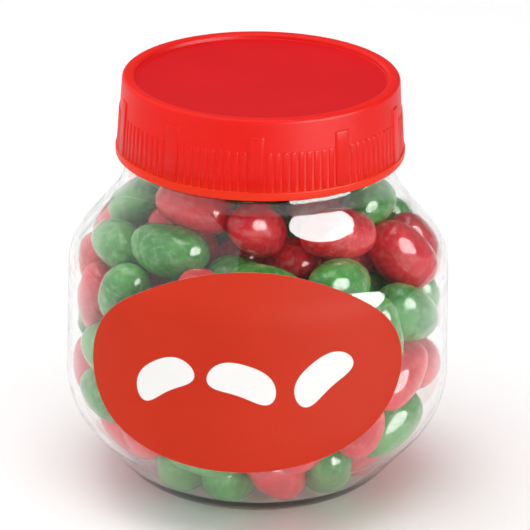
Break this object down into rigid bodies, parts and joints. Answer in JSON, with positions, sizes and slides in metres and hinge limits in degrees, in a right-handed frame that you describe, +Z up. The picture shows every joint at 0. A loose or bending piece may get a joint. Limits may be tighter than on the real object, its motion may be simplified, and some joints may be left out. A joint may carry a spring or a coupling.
{
  "type": "jar of jelly beans",
  "caption": "Round clear plastic jar with a wide belly, filled with red and green jelly beans, shut by a red ribbed screw cap, with a plain oval label on its front.",
  "frame": {"origin": "centre of the jar's underside, on the jar's axis, at the height of the ring it stands on", "axes": "+Z up along the jar's axis, -Y towards the side with the label"},
  "size_m": [0.0756, 0.0759, 0.0832],
  "materials": {
    "clear_plastic": "clear blown PET, glossy",
    "red_cap": "moulded polypropylene, satin",
    "label_paper": "printed paper, slight sheen",
    "sweets": "sugar shell, glossy; red and green"
  },
  "bodies": {
    "root": {"jar": "clear_plastic", "cap": "red_cap", "label": "label_paper", "jelly_beans": "sweets"}
  },
  "joints": []
}
